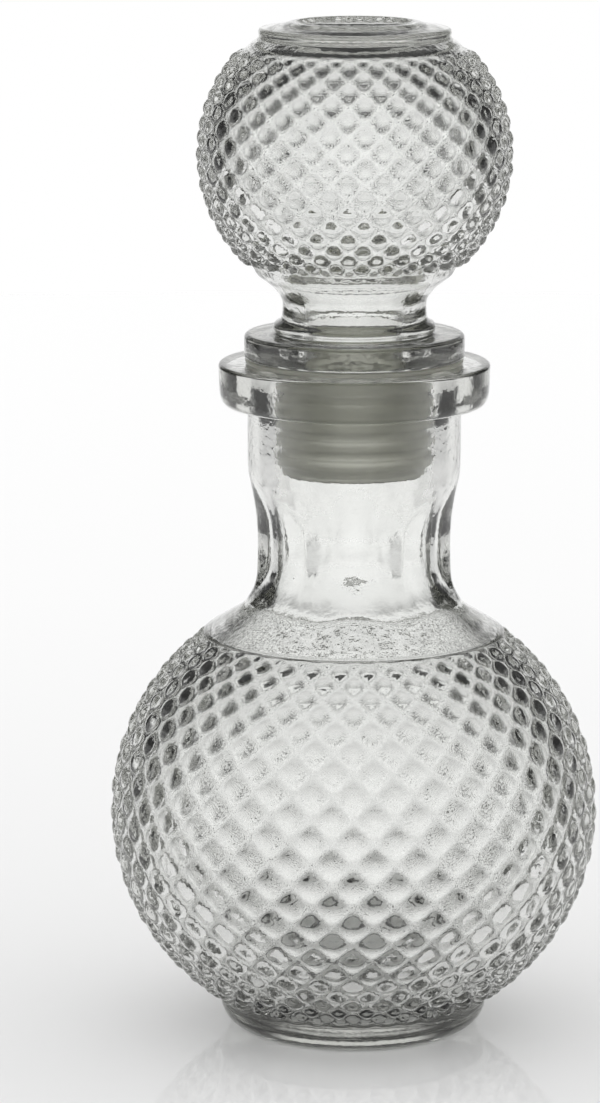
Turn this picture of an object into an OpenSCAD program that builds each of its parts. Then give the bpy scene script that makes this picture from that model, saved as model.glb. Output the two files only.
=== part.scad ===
// Globe decanter of clear moulded glass with a hollow globe stopper and a ribbed seal.
// Millimetres. The origin is the middle of the resting ring, +Z is up the axis.

/* [Body] */
// Largest radius of the body, over the hobnails
body_r = 42.5; // [42:0.1:43]
// Half height of the body's spheroid, over the hobnails
body_half_h = 40; // [39.6:0.1:40.4]
// Height of the middle of the body
body_z = 38.3; // [38:0.1:38.6]
// Radius of the foot's side
foot_r = 23.2; // [22.8:0.1:23.4]
// Radius of the edge where the foot's rounding meets the table
foot_contact_r = 18.6; // [18:0.1:19]
// Inner radius of the resting ring
foot_inner_r = 16; // [15:0.1:16.5]
// Thickness of glass in the body's wall, from the grooves inwards
body_wall = 3.1; // [3:0.1:4]

/* [Neck] */
// Radius of the round upper neck
neck_r = 18.35; // [18.2:0.05:18.5]
// Least radius of the neck at the ridges between the panels
waist_r = 16.7; // [16.6:0.05:16.8]
// Distance from the axis to the middle of a panel, at the waist
panel_apothem = 14.7; // [14.6:0.05:15]
// Radius of the hollow scoop that forms each panel
panel_scoop_r = 20; // [19:0.5:24]
// Height of the neck's waist
waist_z = 85; // [84.5:0.1:85.5]
// Number of panels round the neck
panel_count = 6; // [6:1:8]
// Radius of the mouth's bore
bore_r = 13.6; // [13.4:0.05:13.8]
// Radius of the bore at the waist
throat_r = 12; // [11.5:0.1:12.2]
// Radius of the lip
lip_r = 23.3; // [22.8:0.1:23.6]
// Height of the underside of the lip
lip_low_z = 109.4; // [109:0.1:110]
// Height of the top of the lip
lip_top_z = 116.7; // [116.2:0.1:117]

/* [Stopper] */
// Largest radius of the stopper's globe, over the hobnails
globe_r = 27.1; // [26.9:0.1:27.4]
// Half height of the stopper's globe, over the hobnails
globe_half_h = 26.4; // [26.2:0.1:26.8]
// Height of the middle of the stopper's globe
globe_z = 152.6; // [152.4:0.1:152.8]
// Thickness of glass in the stopper's wall, from the grooves inwards
globe_wall = 2.6; // [2.5:0.1:3.2]
// Radius of the stopper's waist
stopper_waist_r = 12.35; // [12.2:0.05:12.6]
// Radius of the small ring under the waist
small_ring_r = 13.9; // [13.5:0.1:14.2]
// Radius of the sealing disc
disc_r = 18.9; // [18.5:0.1:19.2]
// Thickness of the sealing disc
disc_t = 4.2; // [4:0.1:4.4]
// Radius of the foot ring on top of the stopper
crown_r = 16.4; // [16:0.1:16.8]
// Height of the top of the stopper
top_z = 175; // [174.8:0.1:175.2]
// Radius of the plug
plug_r = 11.4; // [11.2:0.05:11.5]
// Radius of the bore through the plug
plug_bore_r = 8.6; // [8:0.1:8.8]

/* [Seal] */
// Radius of the sleeve between its ribs
sleeve_r = 12.5; // [12.3:0.05:12.6]
// Number of ribs on the sleeve
rib_count = 5; // [3:1:5]
// Distance from one rib to the next
rib_pitch = 3.35; // [3.2:0.05:3.4]
// Height of one rib
rib_h = 2.2; // [1.8:0.1:2.4]
// Plain length of the sleeve under its lowest rib
rib_margin = 1.7; // [1.2:0.1:1.9]
// Height of the sleeve's lower end
sleeve_low_z = 98; // [97.8:0.1:98.4]
// Thickness of the sleeve's top flange
flange_t = 0.8; // [0.7:0.05:0.85]
// Clearance between pieces that move on each other
fit_gap = 0.05; // [0.03:0.01:0.06]

/* [Hobnails] */
// Number of hobnails round the body
body_nails = 36; // [32:1:38]
// Number of hobnails round the stopper
globe_nails = 28; // [26:1:30]
// Height of a hobnail above the grooves, on the body
body_nail_h = 1.1; // [0.9:0.05:1.2]
// Height of a hobnail above the grooves, on the stopper
globe_nail_h = 0.95; // [0.8:0.05:1]
// Height of a row against half the width of a hobnail, on the body
body_row_stretch = 1.14; // [1.1:0.01:1.16]
// Height of a row against half the width of a hobnail, on the stopper
globe_row_stretch = 0.944; // [0.93:0.01:0.96]
// Turn of the stopper's pattern from the bottle's
stopper_turn = 2.6; // [0:0.1:12]

/* [Hidden] */
$fn = 96;
edge_overlap = 0.01;
dome_r = 26;
body_rows = [-11, 10];
globe_rows = [-8, 7];
// depth, below the grooves, of the round wall that carries a hobnail band, and of the band's own back
carrier_depth = 0.45;
band_depth = 1.5;
foot_round = foot_r - foot_contact_r;
foot_hollow = 1.2;
floor_t = 4.2;
shoulder_fillet = 9;
shoulder_slope = 32;
lip_edge = 0.7;
cavity_r = body_r - body_nail_h - body_wall;
cavity_half_h = body_half_h - body_nail_h - body_wall + 0.6;
cavity_z = body_z + 0.7;
throat_low_z = 81;
throat_top_z = 91;
seat_z = 96.5;
disc_z = lip_top_z + flange_t + 2 * fit_gap;
small_ring_z = disc_z + disc_t;
waist_low_z = small_ring_z + 2.6;
waist_top_z = waist_low_z + 3;
flare_r = 18.2;
crown_z = 172;
crown_slope = 0.5;
stopper_contact_r = 11.4;
stopper_contact_in = 10.2;
stopper_hollow = 1.6;
plug_low_z = sleeve_low_z + 0.5;
hollow_r = globe_r - globe_nail_h - globe_wall;
hollow_half_h = globe_half_h - globe_nail_h - globe_wall - 0.4;
hollow_top_z = top_z - stopper_hollow - 2.8;
flange_r = disc_r - 0.2;
rib_r = bore_r - fit_gap;

glass_colour = [0.9, 0.92, 0.9, 0.45];
seal_colour = [0.55, 0.55, 0.5];

// Height on a spheroid's upper half at a distance from its axis
function dome_z(r, across, half_h, mid_z) = mid_z + half_h * sqrt(1 - pow(r / across, 2));

// Angle above the equator of a row of hobnails: rows keep their shape as the globe narrows
function row_angle(row, nails, stretch) =
    2 * atan(exp(row * stretch * PI / nails)) - 90;

// Point of a spheroid at a row and a column, counted in half hobnails, at a depth under its surface
function lattice_point(row, half_col, depth, across, half_h, mid_z, nails, stretch) =
    let (lat = row_angle(row, nails, stretch), lon = (half_col + 1) * 180 / nails - 90)
    [
        (across - depth) * cos(lat) * cos(lon),
        (across - depth) * cos(lat) * sin(lon),
        mid_z + (half_h - depth) * sin(lat)
    ];

// An arc's points, for an outline
function arc_points(centre, r, from, to, steps) =
    [for (i = [0:steps]) centre + r * [cos(from + (to - from) * i / steps), sin(from + (to - from) * i / steps)]];

// A spheroid's outline from one radius on its lower half to another on its upper half
function spheroid_points(across, half_h, mid_z, low_r, top_r, steps) =
    let (from = -acos(low_r / across), to = acos(top_r / across))
    [for (i = [0:steps]) let (t = from + (to - from) * i / steps) [across * cos(t), mid_z + half_h * sin(t)]];

// Closed band of hobnails, with a pyramid on each diamond of the lattice.
// Each row's ring alternates between tips and grooves; two plain rings end the band.
module hobnail_band(across, half_h, mid_z, nails, nail_h, stretch, rows) {
    row_count = rows[1] - rows[0] + 1;
    ring = 2 * nails;
    back_rings = floor(row_count / 2) + 1;
    // tips stand where row and half column are both odd or both even
    front = [
        for (row = [rows[0]:rows[1]], col = [0:ring - 1])
            lattice_point(row, col, (row + col) % 2 == 0 ? 0 : nail_h, across, half_h, mid_z, nails, stretch)
    ];
    low_edge = [
        for (n = [0:nails - 1])
            lattice_point(rows[0] - 1, 2 * n + abs(rows[0]) % 2, nail_h, across, half_h, mid_z, nails, stretch)
    ];
    top_edge = [
        for (n = [0:nails - 1])
            lattice_point(rows[1] + 1, 2 * n + abs(rows[1]) % 2, nail_h, across, half_h, mid_z, nails, stretch)
    ];
    back = [
        for (b = [0:back_rings], n = [0:nails - 1])
            lattice_point(
                rows[0] - 1 + b * (row_count + 1) / back_rings, 2 * n, nail_h + band_depth,
                across, half_h, mid_z, nails, stretch
            )
    ];
    low_start = len(front);
    top_start = low_start + nails;
    back_start = top_start + nails;
    function at(k, col) = k * ring + (col + ring) % ring;
    function below(k, col) = k > 0 ? at(k - 1, col) : low_start + floor(((col + ring) % ring) / 2);
    function above(k, col) = k < row_count - 1 ? at(k + 1, col) : top_start + floor(((col + ring) % ring) / 2);
    function behind(b, n) = back_start + b * nails + n % nails;
    nail_faces = [
        for (k = [0:row_count - 1], n = [0:nails - 1])
            let (col = 2 * n + abs(k + rows[0]) % 2, tip = at(k, col))
            each [
                [tip, at(k, col - 1), above(k, col)],
                [tip, above(k, col), at(k, col + 1)],
                [tip, at(k, col + 1), below(k, col)],
                [tip, below(k, col), at(k, col - 1)]
            ]
    ];
    low_shift = abs(rows[0]) % 2;
    top_shift = abs(rows[1]) % 2;
    rim_faces = [
        for (n = [0:nails - 1])
            let (next = (n + 1) % nails)
            each [
                [at(0, 2 * n + low_shift + 1), low_start + next, low_start + n],
                [at(row_count - 1, 2 * n + top_shift + 1), top_start + n, top_start + next],
                [low_start + n, low_start + next, behind(0, n + low_shift)],
                [low_start + next, behind(0, n + 1 + low_shift), behind(0, n + low_shift)],
                [top_start + next, top_start + n, behind(back_rings, n + top_shift)],
                [top_start + next, behind(back_rings, n + top_shift), behind(back_rings, n + 1 + top_shift)]
            ]
    ];
    back_faces = [
        for (b = [0:back_rings - 1], n = [0:nails - 1])
            each [
                [behind(b, n), behind(b, n + 1), behind(b + 1, n + 1)],
                [behind(b, n), behind(b + 1, n + 1), behind(b + 1, n)]
            ]
    ];
    polyhedron(concat(front, low_edge, top_edge, back), concat(nail_faces, rim_faces, back_faces));
}

// Round wall of the bottle, without its panels and hobnails
module bottle_round() {
    carrier_r = body_r - body_nail_h - carrier_depth;
    carrier_half_h = body_half_h - body_nail_h - carrier_depth;
    shoulder_turn = 90 - shoulder_slope;
    fillet_end_r = waist_r + shoulder_fillet * (1 - cos(shoulder_turn));
    dome_edge_z = dome_z(dome_r, body_r, body_half_h, body_z);
    fillet_end_z = dome_edge_z + (dome_r - fillet_end_r) * tan(shoulder_slope);
    fillet_z = fillet_end_z + shoulder_fillet * sin(shoulder_turn);
    foot_join_r = foot_r - 0.3;
    rotate_extrude()
        polygon(concat(
            [[0, foot_hollow], [foot_inner_r - 4, foot_hollow], [foot_inner_r, 0]],
            arc_points([foot_contact_r, foot_round], foot_round, -90, 0, 8),
            spheroid_points(carrier_r, carrier_half_h, body_z, foot_join_r, dome_r - 0.5, 40),
            [[dome_r, dome_edge_z]],
            arc_points([waist_r + shoulder_fillet, fillet_z], shoulder_fillet, 180 + shoulder_turn, 180, 10),
            [
                [waist_r, 88], [waist_r + 0.2, 90.8], [waist_r + 0.65, 93.6],
                [waist_r + 1.25, 96.2], [neck_r - 0.1, 98.4], [neck_r, 100], [neck_r, lip_low_z],
                [lip_r - 1.8, lip_low_z], [lip_r - 0.7, lip_low_z + 0.6], [lip_r - 0.2, lip_low_z + 2.2],
                [lip_r, lip_top_z - lip_edge - 0.3], [lip_r - 0.3, lip_top_z - 0.25],
                [lip_r - lip_edge - 0.3, lip_top_z], [0, lip_top_z]
            ]
        ));
}

// Six-sided column whose sides are hollow scoops, as wide as the glass may be there
module panel_column(low_z, top_z) {
    side = 2 * neck_r + 30;
    intersection_for(i = [0:panel_count - 1])
        rotate([0, 0, i * 360 / panel_count])
            translate([0, side / 2, 0])
                rotate([90, 0, 0])
                    linear_extrude(side)
                        difference() {
                            translate([-side, low_z])
                                square([side + panel_apothem + panel_scoop_r, top_z - low_z]);
                            translate([panel_apothem + panel_scoop_r, waist_z])
                                circle(panel_scoop_r);
                        }
}

// Solid glass of the bottle, with the panels cut and the dome that they land on
module bottle_outer() {
    panel_low_z = waist_z - panel_scoop_r * 0.72;
    panel_top_z = waist_z + panel_scoop_r * 0.72;
    difference() {
        bottle_round();
        difference() {
            translate([0, 0, panel_low_z])
                cylinder(r = lip_r + 4, h = panel_top_z - panel_low_z);
            rotate([0, 0, 90])
                panel_column(panel_low_z - 1, panel_top_z + 1);
            rotate_extrude()
                polygon(concat(
                    [[0, 40]],
                    spheroid_points(body_r, body_half_h, body_z, body_r, 0.01, 30)
                ));
        }
    }
}

// Space inside the bottle: globe, throat and bore
module bottle_inside() {
    cavity_top_r = throat_r + 3.5;
    rotate_extrude()
        polygon(concat(
            [[0, floor_t], [7, floor_t]],
            spheroid_points(cavity_r, cavity_half_h, cavity_z, 11, cavity_top_r, 40),
            [
                [throat_r + 1.2, 77.5], [throat_r + 0.3, 79.5], [throat_r, throat_low_z],
                [throat_r, throat_top_z], [throat_r + 0.5, 93.5], [bore_r, seat_z],
                [bore_r, lip_top_z - 0.6], [bore_r + 0.6, lip_top_z + edge_overlap], [0, lip_top_z + edge_overlap]
            ]
        ));
}

// Clear glass bottle: foot ring, hobnailed globe, panelled neck and lip
module bottle() {
    color(glass_colour)
        union() {
            difference() {
                bottle_outer();
                bottle_inside();
            }
            hobnail_band(body_r, body_half_h, body_z, body_nails, body_nail_h, body_row_stretch, body_rows);
        }
}

// Solid glass of the stopper, without its hobnails
module stopper_round() {
    carrier_r = globe_r - globe_nail_h - carrier_depth;
    carrier_half_h = globe_half_h - globe_nail_h - carrier_depth;
    rotate_extrude()
        polygon(concat(
            [
                [0, plug_low_z], [plug_r - 0.5, plug_low_z], [plug_r, plug_low_z + 0.8], [plug_r, disc_z],
                [disc_r - 0.4, disc_z], [disc_r, disc_z + 0.5], [disc_r, small_ring_z - 0.6],
                [disc_r - 0.6, small_ring_z], [small_ring_r, small_ring_z + 0.15],
                [small_ring_r, small_ring_z + 1.8], [small_ring_r - 0.4, small_ring_z + 2.3],
                [stopper_waist_r + 0.3, waist_low_z],
                [stopper_waist_r, waist_low_z + 0.8], [stopper_waist_r, waist_top_z],
                [stopper_waist_r + 0.7, waist_top_z + 1.4], [stopper_waist_r + 2.2, waist_top_z + 3],
                [flare_r - 1.2, waist_top_z + 4.8]
            ],
            spheroid_points(carrier_r, carrier_half_h, globe_z, flare_r, 19, 30),
            [
                [crown_r + 0.5, crown_z - 0.3], [crown_r, crown_z + 0.2], [crown_r, crown_z + 1.6],
                [crown_r - 0.5, crown_z + 2], [stopper_contact_r + 1, crown_z + 2 + crown_slope],
                [stopper_contact_r, top_z], [stopper_contact_in, top_z],
                [stopper_contact_in - 1.2, top_z - 0.8], [5, top_z - stopper_hollow], [0, top_z - stopper_hollow]
            ]
        ));
}

// Space inside the stopper, open through its plug
module stopper_inside() {
    rotate_extrude()
        polygon(concat(
            [[0, plug_low_z - edge_overlap], [plug_bore_r, plug_low_z - edge_overlap],
                [plug_bore_r, waist_top_z], [plug_bore_r + 1.6, waist_top_z + 2.6]],
            spheroid_points(hollow_r, hollow_half_h, globe_z, 14, 15, 30),
            [[10, hollow_top_z], [0, hollow_top_z]]
        ));
}

// Clear hollow glass stopper: hobnailed globe, crown ring, disc and plug
module stopper() {
    color(glass_colour)
        union() {
            difference() {
                stopper_round();
                stopper_inside();
            }
            rotate([0, 0, -stopper_turn])
                hobnail_band(
                    globe_r, globe_half_h, globe_z, globe_nails, globe_nail_h, globe_row_stretch, globe_rows
                );
        }
}

// Ribbed plastic sleeve that grips the bore, with a flange under the stopper's disc
module seal() {
    sleeve_in = plug_r + fit_gap;
    flange_z = lip_top_z + fit_gap;
    root = sleeve_r - 0.2;
    color(seal_colour)
        difference() {
            union() {
                translate([0, 0, sleeve_low_z])
                    cylinder(r = sleeve_r, h = flange_z + flange_t - sleeve_low_z);
                translate([0, 0, flange_z])
                    cylinder(r = flange_r, h = flange_t);
                for (i = [0:rib_count - 1])
                    translate([0, 0, sleeve_low_z + rib_margin + i * rib_pitch])
                        rotate_extrude()
                            polygon([
                                [root, 0], [sleeve_r, 0], [rib_r, rib_h * 0.3], [rib_r, rib_h * 0.85],
                                [sleeve_r, rib_h], [root, rib_h]
                            ]);
            }
            translate([0, 0, sleeve_low_z - 1])
                cylinder(r = sleeve_in, h = flange_z + flange_t - sleeve_low_z + 2);
        }
}

bottle();
stopper();
seal();
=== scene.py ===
# Globe decanter of clear moulded glass, with a hollow hobnailed stopper and a ribbed plastic seal
import math

import bmesh
import bpy
from mathutils import Matrix, Vector


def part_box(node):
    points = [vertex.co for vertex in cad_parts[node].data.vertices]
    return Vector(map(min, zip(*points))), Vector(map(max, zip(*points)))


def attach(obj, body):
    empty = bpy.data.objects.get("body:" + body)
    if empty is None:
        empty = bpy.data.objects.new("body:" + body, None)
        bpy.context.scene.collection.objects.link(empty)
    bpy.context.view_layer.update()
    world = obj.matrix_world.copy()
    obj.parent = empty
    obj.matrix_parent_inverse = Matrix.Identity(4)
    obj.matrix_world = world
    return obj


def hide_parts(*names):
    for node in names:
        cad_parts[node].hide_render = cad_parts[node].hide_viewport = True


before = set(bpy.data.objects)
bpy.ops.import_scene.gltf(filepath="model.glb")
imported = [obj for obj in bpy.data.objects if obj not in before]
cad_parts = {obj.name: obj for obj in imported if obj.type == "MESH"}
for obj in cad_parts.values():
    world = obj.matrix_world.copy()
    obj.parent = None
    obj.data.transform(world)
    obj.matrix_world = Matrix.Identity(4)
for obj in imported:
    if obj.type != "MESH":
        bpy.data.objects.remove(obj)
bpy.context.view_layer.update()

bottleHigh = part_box("bottle")[1]
stopperLow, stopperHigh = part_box("stopper")
sealLow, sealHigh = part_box("seal")
mm = 0.001  # outlines are drawn in millimetres and made in metres
mergeReach = 0.002 * mm  # points closer than this become one
fitGap = 0.05  # between the seal and the glass, in millimetres
front = -math.pi / 2  # the side that faces the camera
print("frame loaded")


# Shader maths written as sums: a Wire is one socket, and an operator on it adds a Math node
class Wire:
    def __init__(self, maker, socket):
        self.maker = maker
        self.socket = socket

    def math(self, operation, first, second):
        return self.maker.add("ShaderNodeMath", {"operation": operation}, {0: first, 1: second})

    def __add__(self, other):
        return self.math("ADD", self, other)

    def __sub__(self, other):
        return self.math("SUBTRACT", self, other)

    def __rsub__(self, other):
        return self.math("SUBTRACT", other, self)

    def __mul__(self, other):
        return self.math("MULTIPLY", self, other)

    def __truediv__(self, other):
        return self.math("DIVIDE", self, other)

    def __rtruediv__(self, other):
        return self.math("DIVIDE", other, self)

    __radd__ = __add__
    __rmul__ = __mul__

    def least(self, other):
        return self.math("MINIMUM", self, other)

    def most(self, other):
        return self.math("MAXIMUM", self, other)


# Adds nodes to a tree: a node's settings are set first, then the values or links of its sockets
class Maker:
    def __init__(self, tree):
        self.tree = tree
        tree.nodes.clear()

    def add(self, kind, settings=None, sockets=None, output=0):
        node = self.tree.nodes.new(kind)
        for name, value in (settings or {}).items():
            setattr(node, name, value)
        for name, value in (sockets or {}).items():
            if isinstance(value, Wire):
                self.tree.links.new(value.socket, node.inputs[name])
            else:
                node.inputs[name].default_value = value
        return Wire(self, node.outputs[output]) if node.outputs else None


# Points round an oval from one angle to another, in degrees from its right-hand side
def ovalPoints(centre, across, high, start, end, steps):
    angles = [math.radians(start + (end - start) * i / steps) for i in range(steps + 1)]
    return [(centre[0] + across * math.cos(a), centre[1] + high * math.sin(a)) for a in angles]


# Some arcs start a few degrees in, past the point that they share with the stretch before
def arcPoints(centre, radius, start, end, steps):
    return ovalPoints(centre, radius, radius, start, end, steps)


# A straight stretch in steps, without its first point
def linePoints(start, end, steps):
    return [tuple(a + (b - a) * i / steps for a, b in zip(start, end)) for i in range(1, steps + 1)]


# One coordinate of a smooth curve between its two middle points
def smoothBetween(before, start, end, after, t):
    slope = end - before
    bend = 2 * before - 5 * start + 4 * end - after
    turn = 3 * start - before - 3 * end + after
    return 0.5 * (2 * start + slope * t + bend * t ** 2 + turn * t ** 3)


# A smooth stretch through a few points, without its first point
def curvePoints(points, steps):
    ends = [points[0]] + list(points) + [points[-1]]
    smooth = []
    for four in zip(ends, ends[1:], ends[2:], ends[3:]):
        for i in range(1, steps + 1):
            smooth.append(tuple(smoothBetween(*values, i / steps) for values in zip(*four)))
    return smooth


# A point given as a step out and up from a place on the outline
def stepFrom(radius, height, step):
    return (radius + step[0], height + step[1])


def stepsFrom(radius, height, steps):
    return [stepFrom(radius, height, step) for step in steps]


# Turns an outline of (radius, height) points into one wedge, then repeats the wedge all the way round
def turnOutline(outline, steps, wedges):
    bm = bmesh.new()
    chain = [bm.verts.new((0, -radius * mm, height * mm)) for radius, height in outline]
    edges = [bm.edges.new(pair) for pair in zip(chain, chain[1:])]
    wedge = 2 * math.pi / wedges
    bmesh.ops.spin(
        bm, geom=chain + edges, cent=(0, 0, 0), axis=(0, 0, 1), angle=wedge,
        steps=steps // wedges, use_merge=False, use_duplicate=False,
    )
    first = list(bm.verts) + list(bm.edges) + list(bm.faces)
    for i in range(1, wedges):
        copied = bmesh.ops.duplicate(bm, geom=first)["geom"]
        corners = [part for part in copied if isinstance(part, bmesh.types.BMVert)]
        bmesh.ops.rotate(bm, cent=(0, 0, 0), matrix=Matrix.Rotation(wedge * i, 3, "Z"), verts=corners)
    bmesh.ops.remove_doubles(bm, verts=bm.verts, dist=mergeReach)
    return bm


def finishPiece(bm, name, node, body, material):
    bmesh.ops.recalc_face_normals(bm, faces=bm.faces)
    mesh = bpy.data.meshes.new(name)
    bm.to_mesh(mesh)
    bm.free()
    mesh.polygons.foreach_set("use_smooth", [True] * len(mesh.polygons))
    mesh.materials.append(material)
    piece = bpy.data.objects.new(name, mesh)
    bpy.context.scene.collection.objects.link(piece)
    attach(piece, body)
    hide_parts(node)
    print("made", name, len(mesh.polygons), "faces")


# Hobnails: round buttons on a slanting lattice, the same kind on the bottle and on the stopper
hobnail = {
    "roundness": 0.9,  # radius of a button, as a share of half its cell
    "dome": 0.65,  # below 1 the sides are steeper and the top is flatter
    "fadeRows": 0.5,  # the band's edges fade out over this many rows
    "onGlobe": 0.01,  # a ring this close to the bare globe, in mm, takes hobnails
}


# The smooth globe that carries the hobnails: its radius and half its height
def bareGlobe(piece):
    return piece["radius"] - piece["nailHeight"], piece["halfHeight"] - piece["nailHeight"]


# Rows of hobnails keep their shape as the globe narrows, so their angles follow a Mercator scale
def rowAngle(row, piece):
    return math.atan(math.sinh(row * piece["rowStretch"] * math.pi / piece["nails"]))


def rowAt(sine, piece):
    return math.atanh(sine) * piece["nails"] / (math.pi * piece["rowStretch"])


def bandPoints(piece):
    low, top = piece["rows"]
    rings = piece["ringsPerRow"]
    angles = [rowAngle(low + i / rings, piece) for i in range((top - low) * rings + 1)]
    across, halfHeight = bareGlobe(piece)
    return [(across * math.cos(a), piece["middle"] + halfHeight * math.sin(a)) for a in angles]


# Place across one cell of the lattice, from -1 at one side to 1 at the other
def acrossCell(place):
    return 2 * (place - math.floor(place)) - 1


# Height of the nearest hobnail over a point, from 0 in the grooves to 1 on a tip
def nailShape(column, row):
    away = math.hypot(acrossCell((column + row) / 2), acrossCell((column - row) / 2)) / hobnail["roundness"]
    return (1 - away * away) ** hobnail["dome"] if away < 1 else 0


# Raises the hobnails on the rings of a turned globe
def raiseNails(bm, piece):
    across, halfHeight = [size * mm for size in bareGlobe(piece)]
    low, top = piece["rows"]
    for vert in bm.verts:
        x, y, z = vert.co
        radius = math.hypot(x, y)
        sine = (z - piece["middle"] * mm) / halfHeight
        if abs(sine) >= 1:
            continue
        cosine = math.sqrt(1 - sine * sine)
        if abs(radius - across * cosine) > hobnail["onGlobe"] * mm:
            continue
        row = rowAt(sine, piece)
        share = max(0, min(1, (row - low) / hobnail["fadeRows"], (top - row) / hobnail["fadeRows"]))
        angle = math.atan2(y, x) - front + math.radians(piece["nailTurn"])
        column = angle * piece["nails"] / math.pi
        lift = piece["nailHeight"] * mm * nailShape(column, row) * share
        vert.co = Vector((x, y, 0)) * ((radius + lift * cosine) / radius) + Vector((0, 0, z + lift * sine))


# Bottle: sizes in millimetres and degrees, the main ones as in the CAD solid. A pair is a step out and up
# from a radius and a height, unless its note says otherwise
bottle = {
    "radius": bottleHigh.x / mm,  # over the hobnails, as is half the height
    "halfHeight": 40,
    "middle": 38.3,
    "wall": 3.1,
    "nails": 36,  # in one row, all the way round
    "nailHeight": 1.1,
    "nailTurn": 0,
    "rows": (-12, 11),  # the band's two edges, in rows from the globe's middle
    "rowStretch": 1.14,  # at 1 a cell of the lattice is as tall as it is wide
    "ringsPerRow": 5,
    "stepsPerNail": 8,
    "footRadius": 23.2,
    "footContact": 18.6,  # the ring that it stands on lies between this and the next
    "footInner": 16,
    "footHollow": 1.2,
    "footHollowRadius": 12,
    "footRise": (13.8, 0.75),  # radius and height
    "domeRadius": 26,  # where the shoulder's slope leaves the globe
    "shoulderFillet": 9,
    "shoulderSlope": 32,
    "shoulderStep": (1, -0.6),
    "waistRadius": 16.7,
    "waistSwell": ((0, 86), (0.15, 90), (0.65, 93.6)),  # a step out and a height each, as in neckSwell
    "neckRadius": 18.35,
    "neckSwell": ((-0.2, 97.5), (0, 101)),
    "panels": 6,
    "panelApothem": 14.7,
    "panelScoop": 20,  # radius of the hollow from top to bottom
    "panelMiddle": 85,
    "panelBlend": 0.9,
    "panelReach": (71, 104),  # heights
    "panelWall": 0.6,  # nothing closer to the bore than this is cut
    "lipRadius": 23.3,
    "lipLow": 109.4,
    "lipTop": bottleHigh.z / mm,
    "lipUnder": ((-1.9, 0.1), (-0.8, 0.6), (-0.2, 2.2)),
    "lipSide": 0.7,
    "lipCorner": 0.5,  # rounding between the neck and the lip
    "lipEdge": 0.55,
    "lipFlat": 1,
    "boreRadius": 13.6,
    "boreEdge": 0.8,
    "boreLow": 97,
    "throatRadius": 12,
    "throatShape": ((0.5, 93.5), (0, 90), (0, 82), (0.5, 79), (2, 76.6), (5, 73.6)),  # out, and heights
    "throatFlare": 8,
    "hollowTaller": 0.6,
    "hollowHigher": 0.7,
    "hollowLowAngle": -72,
    "hollowFloor": ((8, 4.4), (4, 4.2), (0, 4.2)),  # radius and height
}


def domeHeight(radius):
    return bottle["middle"] + bottle["halfHeight"] * math.sqrt(1 - (radius / bottle["radius"]) ** 2)


def footPoints():
    b = bottle
    footRound = b["footRadius"] - b["footContact"]
    foot = [(0, b["footHollow"])]
    foot += linePoints(foot[-1], (b["footHollowRadius"], b["footHollow"]), steps=4)
    foot += curvePoints([foot[-1], b["footRise"], (b["footInner"], 0)], steps=3)
    foot += linePoints(foot[-1], (b["footContact"], 0), steps=2)
    foot += arcPoints((b["footContact"], footRound), footRound, -80, 0, steps=9)
    return foot


# From the hobnails' top edge over the plain band to the foot of the neck
def shoulderPoints(start):
    b = bottle
    turned = 90 - b["shoulderSlope"]
    dome = domeHeight(b["domeRadius"])
    slopeEnd = b["waistRadius"] + b["shoulderFillet"] * (1 - math.cos(math.radians(turned)))
    slopeTop = dome + (b["domeRadius"] - slopeEnd) * math.tan(math.radians(b["shoulderSlope"]))
    filletTop = slopeTop + b["shoulderFillet"] * math.sin(math.radians(turned))
    filletMiddle = (b["waistRadius"] + b["shoulderFillet"], filletTop)
    slope = [(b["domeRadius"], dome), stepFrom(slopeEnd, slopeTop, b["shoulderStep"])]
    shoulder = curvePoints([start, *slope], steps=5)
    return shoulder + arcPoints(filletMiddle, b["shoulderFillet"], 180 + turned, 180, steps=14)


def neckPoints(start):
    b = bottle
    swell = stepsFrom(b["waistRadius"], 0, b["waistSwell"]) + stepsFrom(b["neckRadius"], 0, b["neckSwell"])
    neck = curvePoints([start, *swell], steps=5)
    return neck + linePoints(neck[-1], (b["neckRadius"], b["lipLow"] - b["lipCorner"]), steps=3)


def lipPoints():
    b = bottle
    edge = b["lipEdge"]
    neck = b["neckRadius"] + b["lipCorner"]
    lip = arcPoints((neck, b["lipLow"] - b["lipCorner"]), b["lipCorner"], 180, 90, steps=3)
    under = stepsFrom(b["lipRadius"], b["lipLow"], b["lipUnder"])
    lip += curvePoints([(neck, b["lipLow"]), *under, (b["lipRadius"], b["lipTop"] - b["lipSide"])], steps=4)
    lip += arcPoints(stepFrom(b["lipRadius"], b["lipTop"], (-edge, -edge)), edge, 0, 90, steps=6)
    flatStart = (b["lipRadius"] - b["lipFlat"], b["lipTop"])
    return lip + linePoints(flatStart, (b["boreRadius"] + b["lipFlat"], b["lipTop"]), steps=3)


def insidePoints():
    b = bottle
    edgeMiddle = (b["boreRadius"] + b["boreEdge"], b["lipTop"] - b["boreEdge"])
    throat = stepsFrom(b["throatRadius"], 0, b["throatShape"])
    inside = arcPoints(edgeMiddle, b["boreEdge"], 90, 180, steps=5)
    inside += linePoints(inside[-1], (b["boreRadius"], b["boreLow"]), steps=4)
    inside += curvePoints([inside[-1], *throat], steps=4)
    across, halfHeight = [size - b["wall"] for size in bareGlobe(b)]
    topAngle = math.degrees(math.acos((b["throatRadius"] + b["throatFlare"]) / across))
    middle = (0, b["middle"] + b["hollowHigher"])
    halfHeight += b["hollowTaller"]
    inside += ovalPoints(middle, across, halfHeight, topAngle, b["hollowLowAngle"], steps=44)
    return inside + curvePoints([inside[-1], *b["hollowFloor"]], steps=3)


def bottleOutline():
    outside = footPoints() + bandPoints(bottle)
    outside += shoulderPoints(outside[-1])
    outside += neckPoints(outside[-1])
    return outside + lipPoints() + insidePoints()


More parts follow.
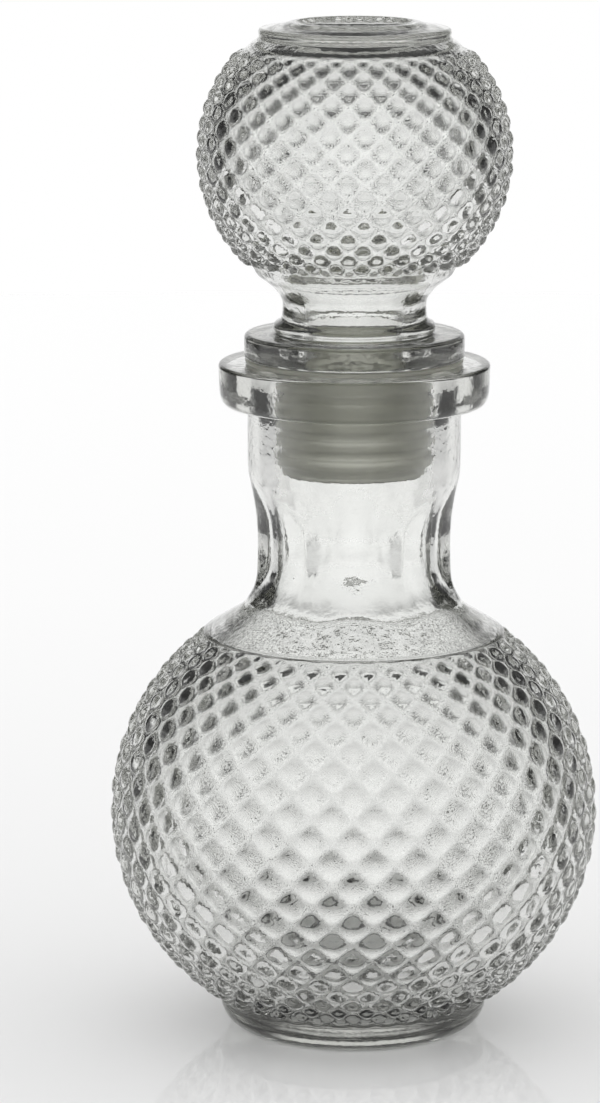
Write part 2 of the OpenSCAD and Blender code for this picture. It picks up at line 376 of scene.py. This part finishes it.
# The smaller or the larger of two sizes, with a soft change from one to the other
def smoothLess(a, b, blend):
    near = max(blend - abs(a - b), 0) / blend
    return min(a, b) - near * near * blend / 4


def smoothMore(a, b, blend):
    return -smoothLess(-a, -b, blend)


# Cuts the neck's panels: hollow scoops that land on the body's dome
def cutPanels(bm):
    b = bottle
    share = 2 * math.pi / b["panels"]
    blend = b["panelBlend"] * mm
    low, high = b["panelReach"]
    for vert in bm.verts:
        x, y, z = vert.co
        radius = math.hypot(x, y)
        height = z / mm
        if not low < height < high or radius < (b["boreRadius"] + b["panelWall"]) * mm:
            continue
        away = height - b["panelMiddle"]
        scoop = b["panelApothem"] + b["panelScoop"] - math.sqrt(b["panelScoop"] ** 2 - away * away)
        turn = (math.atan2(y, x) - front) / share
        panel = scoop * mm / math.cos((turn - round(turn)) * share)
        up = (height - b["middle"]) / b["halfHeight"]
        dome = b["radius"] * mm * math.sqrt(max(0, 1 - up * up))
        cut = smoothLess(radius, panel, blend)
        new = min(radius, smoothMore(cut, dome, blend))
        vert.co.x *= new / radius
        vert.co.y *= new / radius


def makeBottle(material):
    bm = turnOutline(bottleOutline(), bottle["nails"] * bottle["stepsPerNail"], bottle["panels"])
    raiseNails(bm, bottle)
    cutPanels(bm)
    finishPiece(bm, "bottleGlass", "bottle", "bottle", material)


# Stopper: sizes in millimetres and degrees, the main ones as in the CAD solid. A pair is a step out and up
# from a radius and a height, unless its note says otherwise
stopper = {
    "radius": 27.1,
    "halfHeight": 26.4,
    "middle": 152.6,
    "wall": 2.6,
    "wedges": 7,  # equal parts that its turning is made of
    "nails": 28,
    "nailHeight": 0.95,
    "nailTurn": 2.6,
    "rows": (-9, 8),  # the band's two edges, as on the bottle
    "rowStretch": 0.944,
    "ringsPerRow": 5,
    "stepsPerNail": 10,
    "plugRadius": 11.4,
    "plugBore": 8.6,
    "plugLow": stopperLow.z / mm,
    "plugEdge": 0.7,
    "plugRim": (0.3, 0.4),
    "plugRimMiddle": (0.9, 0.7),
    "plugEnd": 1,
    "discRadius": 18.9,
    "discLow": sealHigh.z / mm + fitGap,
    "discThick": 4.2,
    "discUnderEdge": 0.5,
    "discUnderFlat": 0.6,
    "discTopEdge": 0.8,
    "discCorner": 0.02,
    "ringRadius": 13.9,
    "ringThick": 2.6,
    "ringFoot": (0.3, 0.05),
    "ringMiddle": (-0.9, 1.1),
    "ringRound": 0.95,
    "waistRadius": 12.35,
    "waistTall": 3,
    "waistFoot": ((0.25, -0.1), (0, 1)),
    "waistFlare": ((0, 0), (0.8, 1.5), (2.2, 3), (4.3, 4.6)),
    "crownRadius": 16.4,
    "crownHeight": 172,
    "crownSide": ((1, -0.4), (0, 0.3), (0, 1.2)),
    "crownEdge": 0.7,
    "crownEdgeLift": 1.3,
    "crownFlat": (1, 2.5),
    "contactRadius": 11.4,
    "top": stopperHigh.z / mm,
    "topRim": ((0, -0.15), (-0.6, -0.02), (-1.2, -0.1), (-2.4, -0.8)),
    "topDish": ((5, -1.6), (0, -1.6)),
    "hollowFlatter": 0.4,
    "hollowTop": 4.4,
    "hollowCeiling": ((0, 0), (8, 0), (12, -0.2)),
    "hollowTopRadius": 15.5,
    "hollowLowRadius": 14.5,
    "hollowThroat": ((1.6, 2.6), (0.2, 0)),
    "hollowThroatLow": 2,
}


# From the rim of the plug's bore over the plug and the disc to the small ring's foot
def plugPoints():
    s = stopper
    edge = s["plugEdge"]
    disc = s["discLow"]
    under = s["discUnderEdge"]
    topEdge = s["discTopEdge"]
    ringLow = disc + s["discThick"]
    plug = [stepFrom(s["plugBore"], s["plugLow"], s["plugRim"])]
    plug += arcPoints(stepFrom(s["plugBore"], s["plugLow"], s["plugRimMiddle"]), edge, 210, 270, steps=3)
    plug += linePoints(plug[-1], (s["plugRadius"] - edge, s["plugLow"]), steps=2)
    plug += arcPoints((s["plugRadius"] - edge, s["plugLow"] + edge), edge, -80, 0, steps=4)
    plug += linePoints(plug[-1], (s["plugRadius"], disc - s["discCorner"]), steps=5)
    plug += linePoints((s["plugRadius"], disc), (s["discRadius"] - s["discUnderFlat"], disc), steps=4)
    plug += arcPoints((s["discRadius"] - under, disc + under), under, -80, 0, steps=4)
    plug += linePoints(plug[-1], (s["discRadius"], ringLow - topEdge), steps=4)
    plug += arcPoints((s["discRadius"] - topEdge, ringLow - topEdge), topEdge, 12, 90, steps=5)
    return plug + linePoints(plug[-1], stepFrom(s["ringRadius"], ringLow, s["ringFoot"]), steps=3)


def ringPoints(ringLow):
    middle = stepFrom(stopper["ringRadius"], ringLow, stopper["ringMiddle"])
    return arcPoints(middle, stopper["ringRound"], -55, 75, steps=7)


# From the hobnails' top edge over the flat crown into the dish on top
def crownPoints(start):
    s = stopper
    edgeMiddle = (s["crownRadius"] - s["crownEdge"], s["crownHeight"] + s["crownEdgeLift"])
    side = stepsFrom(s["crownRadius"], s["crownHeight"], s["crownSide"])
    rim = stepsFrom(s["contactRadius"], s["top"], s["topRim"])
    crown = curvePoints([start, *side], steps=4)
    crown += arcPoints(edgeMiddle, s["crownEdge"], 10, 90, steps=5)
    crown += linePoints(crown[-1], stepFrom(s["contactRadius"], s["crownHeight"], s["crownFlat"]), steps=3)
    crown += curvePoints([crown[-1], *rim], steps=3)
    return crown + curvePoints([crown[-1], *stepsFrom(0, s["top"], s["topDish"])], steps=5)


def hollowPoints(waistLow, waistTop):
    s = stopper
    across, halfHeight = [size - s["wall"] for size in bareGlobe(s)]
    topAngle = math.degrees(math.acos(s["hollowTopRadius"] / across))
    lowAngle = -math.degrees(math.acos(s["hollowLowRadius"] / across))
    ceiling = stepsFrom(0, s["top"] - s["hollowTop"], s["hollowCeiling"])
    hollow = ceiling[:1] + curvePoints(ceiling, steps=4)
    halfHeight -= s["hollowFlatter"]
    hollow += ovalPoints((0, s["middle"]), across, halfHeight, topAngle, lowAngle, steps=36)
    throat = stepsFrom(s["plugBore"], waistTop, s["hollowThroat"])
    hollow += curvePoints([hollow[-1], *throat, (s["plugBore"], waistLow - s["hollowThroatLow"])], steps=5)
    return hollow + linePoints(hollow[-1], (s["plugBore"], s["plugLow"] + s["plugEnd"]), steps=6)


def stopperOutline():
    s = stopper
    ringLow = s["discLow"] + s["discThick"]
    waistLow = ringLow + s["ringThick"]
    waistTop = waistLow + s["waistTall"]
    band = bandPoints(s)
    foot = stepsFrom(s["waistRadius"], waistLow, s["waistFoot"])
    flare = stepsFrom(s["waistRadius"], waistTop, s["waistFlare"])
    outside = plugPoints() + ringPoints(ringLow)
    outside += curvePoints([outside[-1], *foot, *flare, band[0]], steps=4)
    outside += band[1:]
    outside += crownPoints(band[-1])
    return outside + hollowPoints(waistLow, waistTop) + outside[:1]


def makeStopper(material):
    bm = turnOutline(stopperOutline(), stopper["nails"] * stopper["stepsPerNail"], stopper["wedges"])
    raiseNails(bm, stopper)
    finishPiece(bm, "stopperGlass", "stopper", "stopper", material)


# Seal: a soft sleeve on the plug, with ribs that stand just clear of the bore
seal = {
    "inner": 11.45,
    "outer": 12.5,
    "low": sealLow.z / mm,
    "top": sealHigh.z / mm,
    "edge": 0.3,
    "ribs": 5,
    "ribRadius": bottle["boreRadius"] - fitGap,
    "ribPitch": 3.35,
    "ribHeight": 2.2,
    "ribMargin": 1.7,
    "ribCrest": ((-0.3, 0.35), (0, 0.9), (0, 1.5), (-0.3, 2)),  # steps out and up
    "flangeRadius": sealHigh.x / mm,
    "flangeThick": 0.8,
    "lowRim": 0.2,
    "topRim": 0.1,
    "innerLow": 0.6,
    "steps": 96,
    "wedges": 4,
}


def ribPoints(base):
    crest = stepsFrom(seal["ribRadius"], base, seal["ribCrest"])
    return curvePoints([(seal["outer"], base), *crest, (seal["outer"], base + seal["ribHeight"])], steps=3)


def sealOutline():
    s = seal
    edge = s["edge"]
    flangeLow = s["top"] - s["flangeThick"]
    flangeSide = s["flangeRadius"] - edge
    outline = [(s["inner"], s["low"] + s["lowRim"])]
    outline += arcPoints((s["inner"] + edge, s["low"] + edge), edge, 200, 270, steps=3)
    outline += arcPoints((s["outer"] - edge, s["low"] + edge), edge, -90, 0, steps=3)
    for i in range(s["ribs"]):
        outline += ribPoints(s["low"] + s["ribMargin"] + i * s["ribPitch"])
    outline += linePoints(outline[-1], (s["outer"], flangeLow), steps=2)
    outline += linePoints(outline[-1], (flangeSide, flangeLow), steps=4)
    outline += arcPoints((flangeSide, flangeLow + edge), edge, -80, 0, steps=3)
    outline += arcPoints((flangeSide, s["top"] - edge), edge, 0, 90, steps=3)
    outline += linePoints(outline[-1], (s["inner"] + s["topRim"], s["top"]), steps=4)
    innerTop = (s["inner"], s["top"] - s["topRim"])
    outline += linePoints(innerTop, (s["inner"], s["low"] + s["innerLow"]), steps=8)
    return outline + outline[:1]


def makeSeal(material):
    bm = turnOutline(sealOutline(), seal["steps"], seal["wedges"])
    finishPiece(bm, "sealSleeve", "seal", "seal", material)


def newMaterial(name):
    material = bpy.data.materials.new(name)
    material.use_nodes = True
    return material, Maker(material.node_tree)


# Clear soda glass with a faint olive tint, slightly uneven from the mould
glassFinish = {
    "colour": (0.985, 0.99, 0.98, 1),
    "roughLow": 0.0,
    "roughHigh": 0.02,
    "ior": 1.5,
    "absorb": (0.74, 0.742, 0.72, 1),
    "density": 50,
    "waveScale": 800,
    "waveDetail": 2,
    "waveHeight": 0.05,
}


def glassMaterial(name):
    g = glassFinish
    material, maker = newMaterial(name)
    place = maker.add("ShaderNodeTexCoord", output="Object")
    wave = maker.add("ShaderNodeTexNoise", sockets={
        "Vector": place, "Scale": g["waveScale"], "Detail": g["waveDetail"],
    })
    rough = wave * (g["roughHigh"] - g["roughLow"]) + g["roughLow"]
    bump = maker.add("ShaderNodeBump", output="Normal", sockets={
        "Strength": g["waveHeight"], "Distance": mm, "Height": wave,
    })
    shader = maker.add("ShaderNodeBsdfPrincipled", sockets={
        "Base Color": g["colour"], "Roughness": rough, "IOR": g["ior"], "Transmission Weight": 1.0,
        "Normal": bump,
    })
    depth = maker.add("ShaderNodeVolumeAbsorption", sockets={"Color": g["absorb"], "Density": g["density"]})
    maker.add("ShaderNodeOutputMaterial", sockets={"Surface": shader, "Volume": depth})
    return material


# Soft grey-olive plastic, cloudy enough to glow where light comes through the hollow plug
sealFinish = {
    "colour": (0.68, 0.68, 0.60, 1),
    "pale": (0.80, 0.80, 0.72, 1),
    "cloudScale": 90,
    "cloudDetail": 3,
    "roughness": 0.3,
    "roughSpread": 0.15,
    "through": 0.75,
    "ior": 1.43,
}


# A Mix node keeps its two colours in its sockets 6 and 7, and gives their mixture from its output 2
def mixColours(maker, share, first, second):
    return maker.add("ShaderNodeMix", {"data_type": "RGBA"}, {0: share, 6: first, 7: second}, 2)


def sealMaterial():
    s = sealFinish
    material, maker = newMaterial("sealPlastic")
    place = maker.add("ShaderNodeTexCoord", output="Object")
    cloud = maker.add("ShaderNodeTexNoise", sockets={
        "Vector": place, "Scale": s["cloudScale"], "Detail": s["cloudDetail"],
    })
    tone = mixColours(maker, cloud, s["colour"], s["pale"])
    rough = cloud * s["roughSpread"] + s["roughness"]
    shader = maker.add("ShaderNodeBsdfPrincipled", sockets={
        "Base Color": tone, "Roughness": rough, "IOR": s["ior"], "Transmission Weight": s["through"],
    })
    maker.add("ShaderNodeOutputMaterial", sockets={"Surface": shader})
    return material


# Stage: a white, slightly glossy floor, wide enough to fill the picture's foot at rest
stageSettings = {
    "floorRadius": 0.9,  # in metres
    "floorSides": 96,
    "floorColour": (1, 1, 1, 1),
    "floorRough": 0.06,
    "floorIor": 1.45,
}


def makeFloor():
    s = stageSettings
    bm = bmesh.new()
    bmesh.ops.create_circle(bm, cap_ends=True, segments=s["floorSides"], radius=s["floorRadius"])
    mesh = bpy.data.meshes.new("floor")
    bm.to_mesh(mesh)
    bm.free()
    floor = bpy.data.objects.new("floor", mesh)
    bpy.context.scene.collection.objects.link(floor)
    material, maker = newMaterial("whiteAcrylic")
    shader = maker.add("ShaderNodeBsdfPrincipled", sockets={
        "Base Color": s["floorColour"], "Roughness": s["floorRough"], "IOR": s["floorIor"],
    })
    maker.add("ShaderNodeOutputMaterial", sockets={"Surface": shader})
    mesh.materials.append(material)
    print("floor laid")


# Light: the surround is plain white for the camera and for light that has met a dull surface. What the
# glass and the glossy floor show of it has dark flags between four bright windows, and is dark overhead
surround = {
    "colour": (1, 1, 1, 1),
    "plainLight": 1.0,
    "windowFrom": -0.70,  # cosine of four times the compass angle, from a flag to a window
    "windowTo": 0.40,
    "topFrom": 0.15,  # slope of the view, from 0 on the level to 1 straight up
    "topTo": 0.42,
    "flagShade": 0.03,
    "topShade": 0.04,
    "poleGuard": 0.0001,  # keeps the sum above zero straight up and straight down
}


# Eases from one value to another while the input goes from start to end
def ease(maker, value, start, end, low, high):
    return maker.add("ShaderNodeMapRange", {"interpolation_type": "SMOOTHSTEP"}, {
        0: value, 1: start, 2: end, 3: low, 4: high,
    })


def makeWorld():
    s = surround
    world = bpy.data.worlds.new("studio")
    world.use_nodes = True
    bpy.context.scene.world = world
    maker = Maker(world.node_tree)
    camera, glossy, through, dullBounces = [
        maker.add("ShaderNodeLightPath", output=kind)
        for kind in ("Is Camera Ray", "Is Glossy Ray", "Is Transmission Ray", "Diffuse Depth")
    ]
    direction = maker.add("ShaderNodeTexCoord", output="Generated")
    x, y, z = [maker.add("ShaderNodeSeparateXYZ", sockets={0: direction}, output=axis) for axis in "XYZ"]
    twice = (y * y - x * x) / (x * x + y * y + s["poleGuard"])  # cosine of twice the compass angle
    fourTimes = twice * twice * 2 - 1
    window = ease(maker, fourTimes, s["windowFrom"], s["windowTo"], s["flagShade"], 1.0)
    top = ease(maker, z, s["topFrom"], s["topTo"], 0.0, 1.0)
    shown = window * (1 - top) + top * s["topShade"]
    inGlass = glossy.most(through) * (1 - camera) * (1 - dullBounces.least(1))
    plain = (1 - inGlass) * (camera + (1 - camera) * s["plainLight"])
    background = maker.add("ShaderNodeBackground", sockets={
        "Color": s["colour"], "Strength": plain + inGlass * shown,
    })
    maker.add("ShaderNodeOutputWorld", sockets={"Surface": background})
    print("surround lit")


# Camera, as in the photograph: places in metres, angles in degrees, lens and sensor in millimetres
view = {"distance": 0.875, "height": 0.254, "pitch": 11.02, "yaw": 0.61, "lens": 168.6, "sensor": 36}


def makeCamera():
    camera = bpy.data.cameras.new("camera")
    camera.lens = view["lens"]
    camera.sensor_width = view["sensor"]
    holder = bpy.data.objects.new("camera", camera)
    holder.location = (0, -view["distance"], view["height"])
    holder.rotation_euler = (math.radians(90 - view["pitch"]), 0, math.radians(view["yaw"]))
    bpy.context.scene.collection.objects.link(holder)
    bpy.context.scene.camera = holder
    print("camera placed")


# Render: light crosses many glass walls before it leaves the decanter
renderSettings = {"glassBounces": 32, "glossBounces": 12, "clearBounces": 16}


def setRender():
    scene = bpy.context.scene
    scene.view_settings.view_transform = "Standard"
    scene.cycles.max_bounces = renderSettings["glassBounces"]
    scene.cycles.transmission_bounces = renderSettings["glassBounces"]
    scene.cycles.glossy_bounces = renderSettings["glossBounces"]
    scene.cycles.transparent_max_bounces = renderSettings["clearBounces"]
    print("render set")


makeCamera()
makeBottle(glassMaterial("bottleGlass"))
makeStopper(glassMaterial("stopperGlass"))
makeSeal(sealMaterial())
makeFloor()
makeWorld()
setRender()
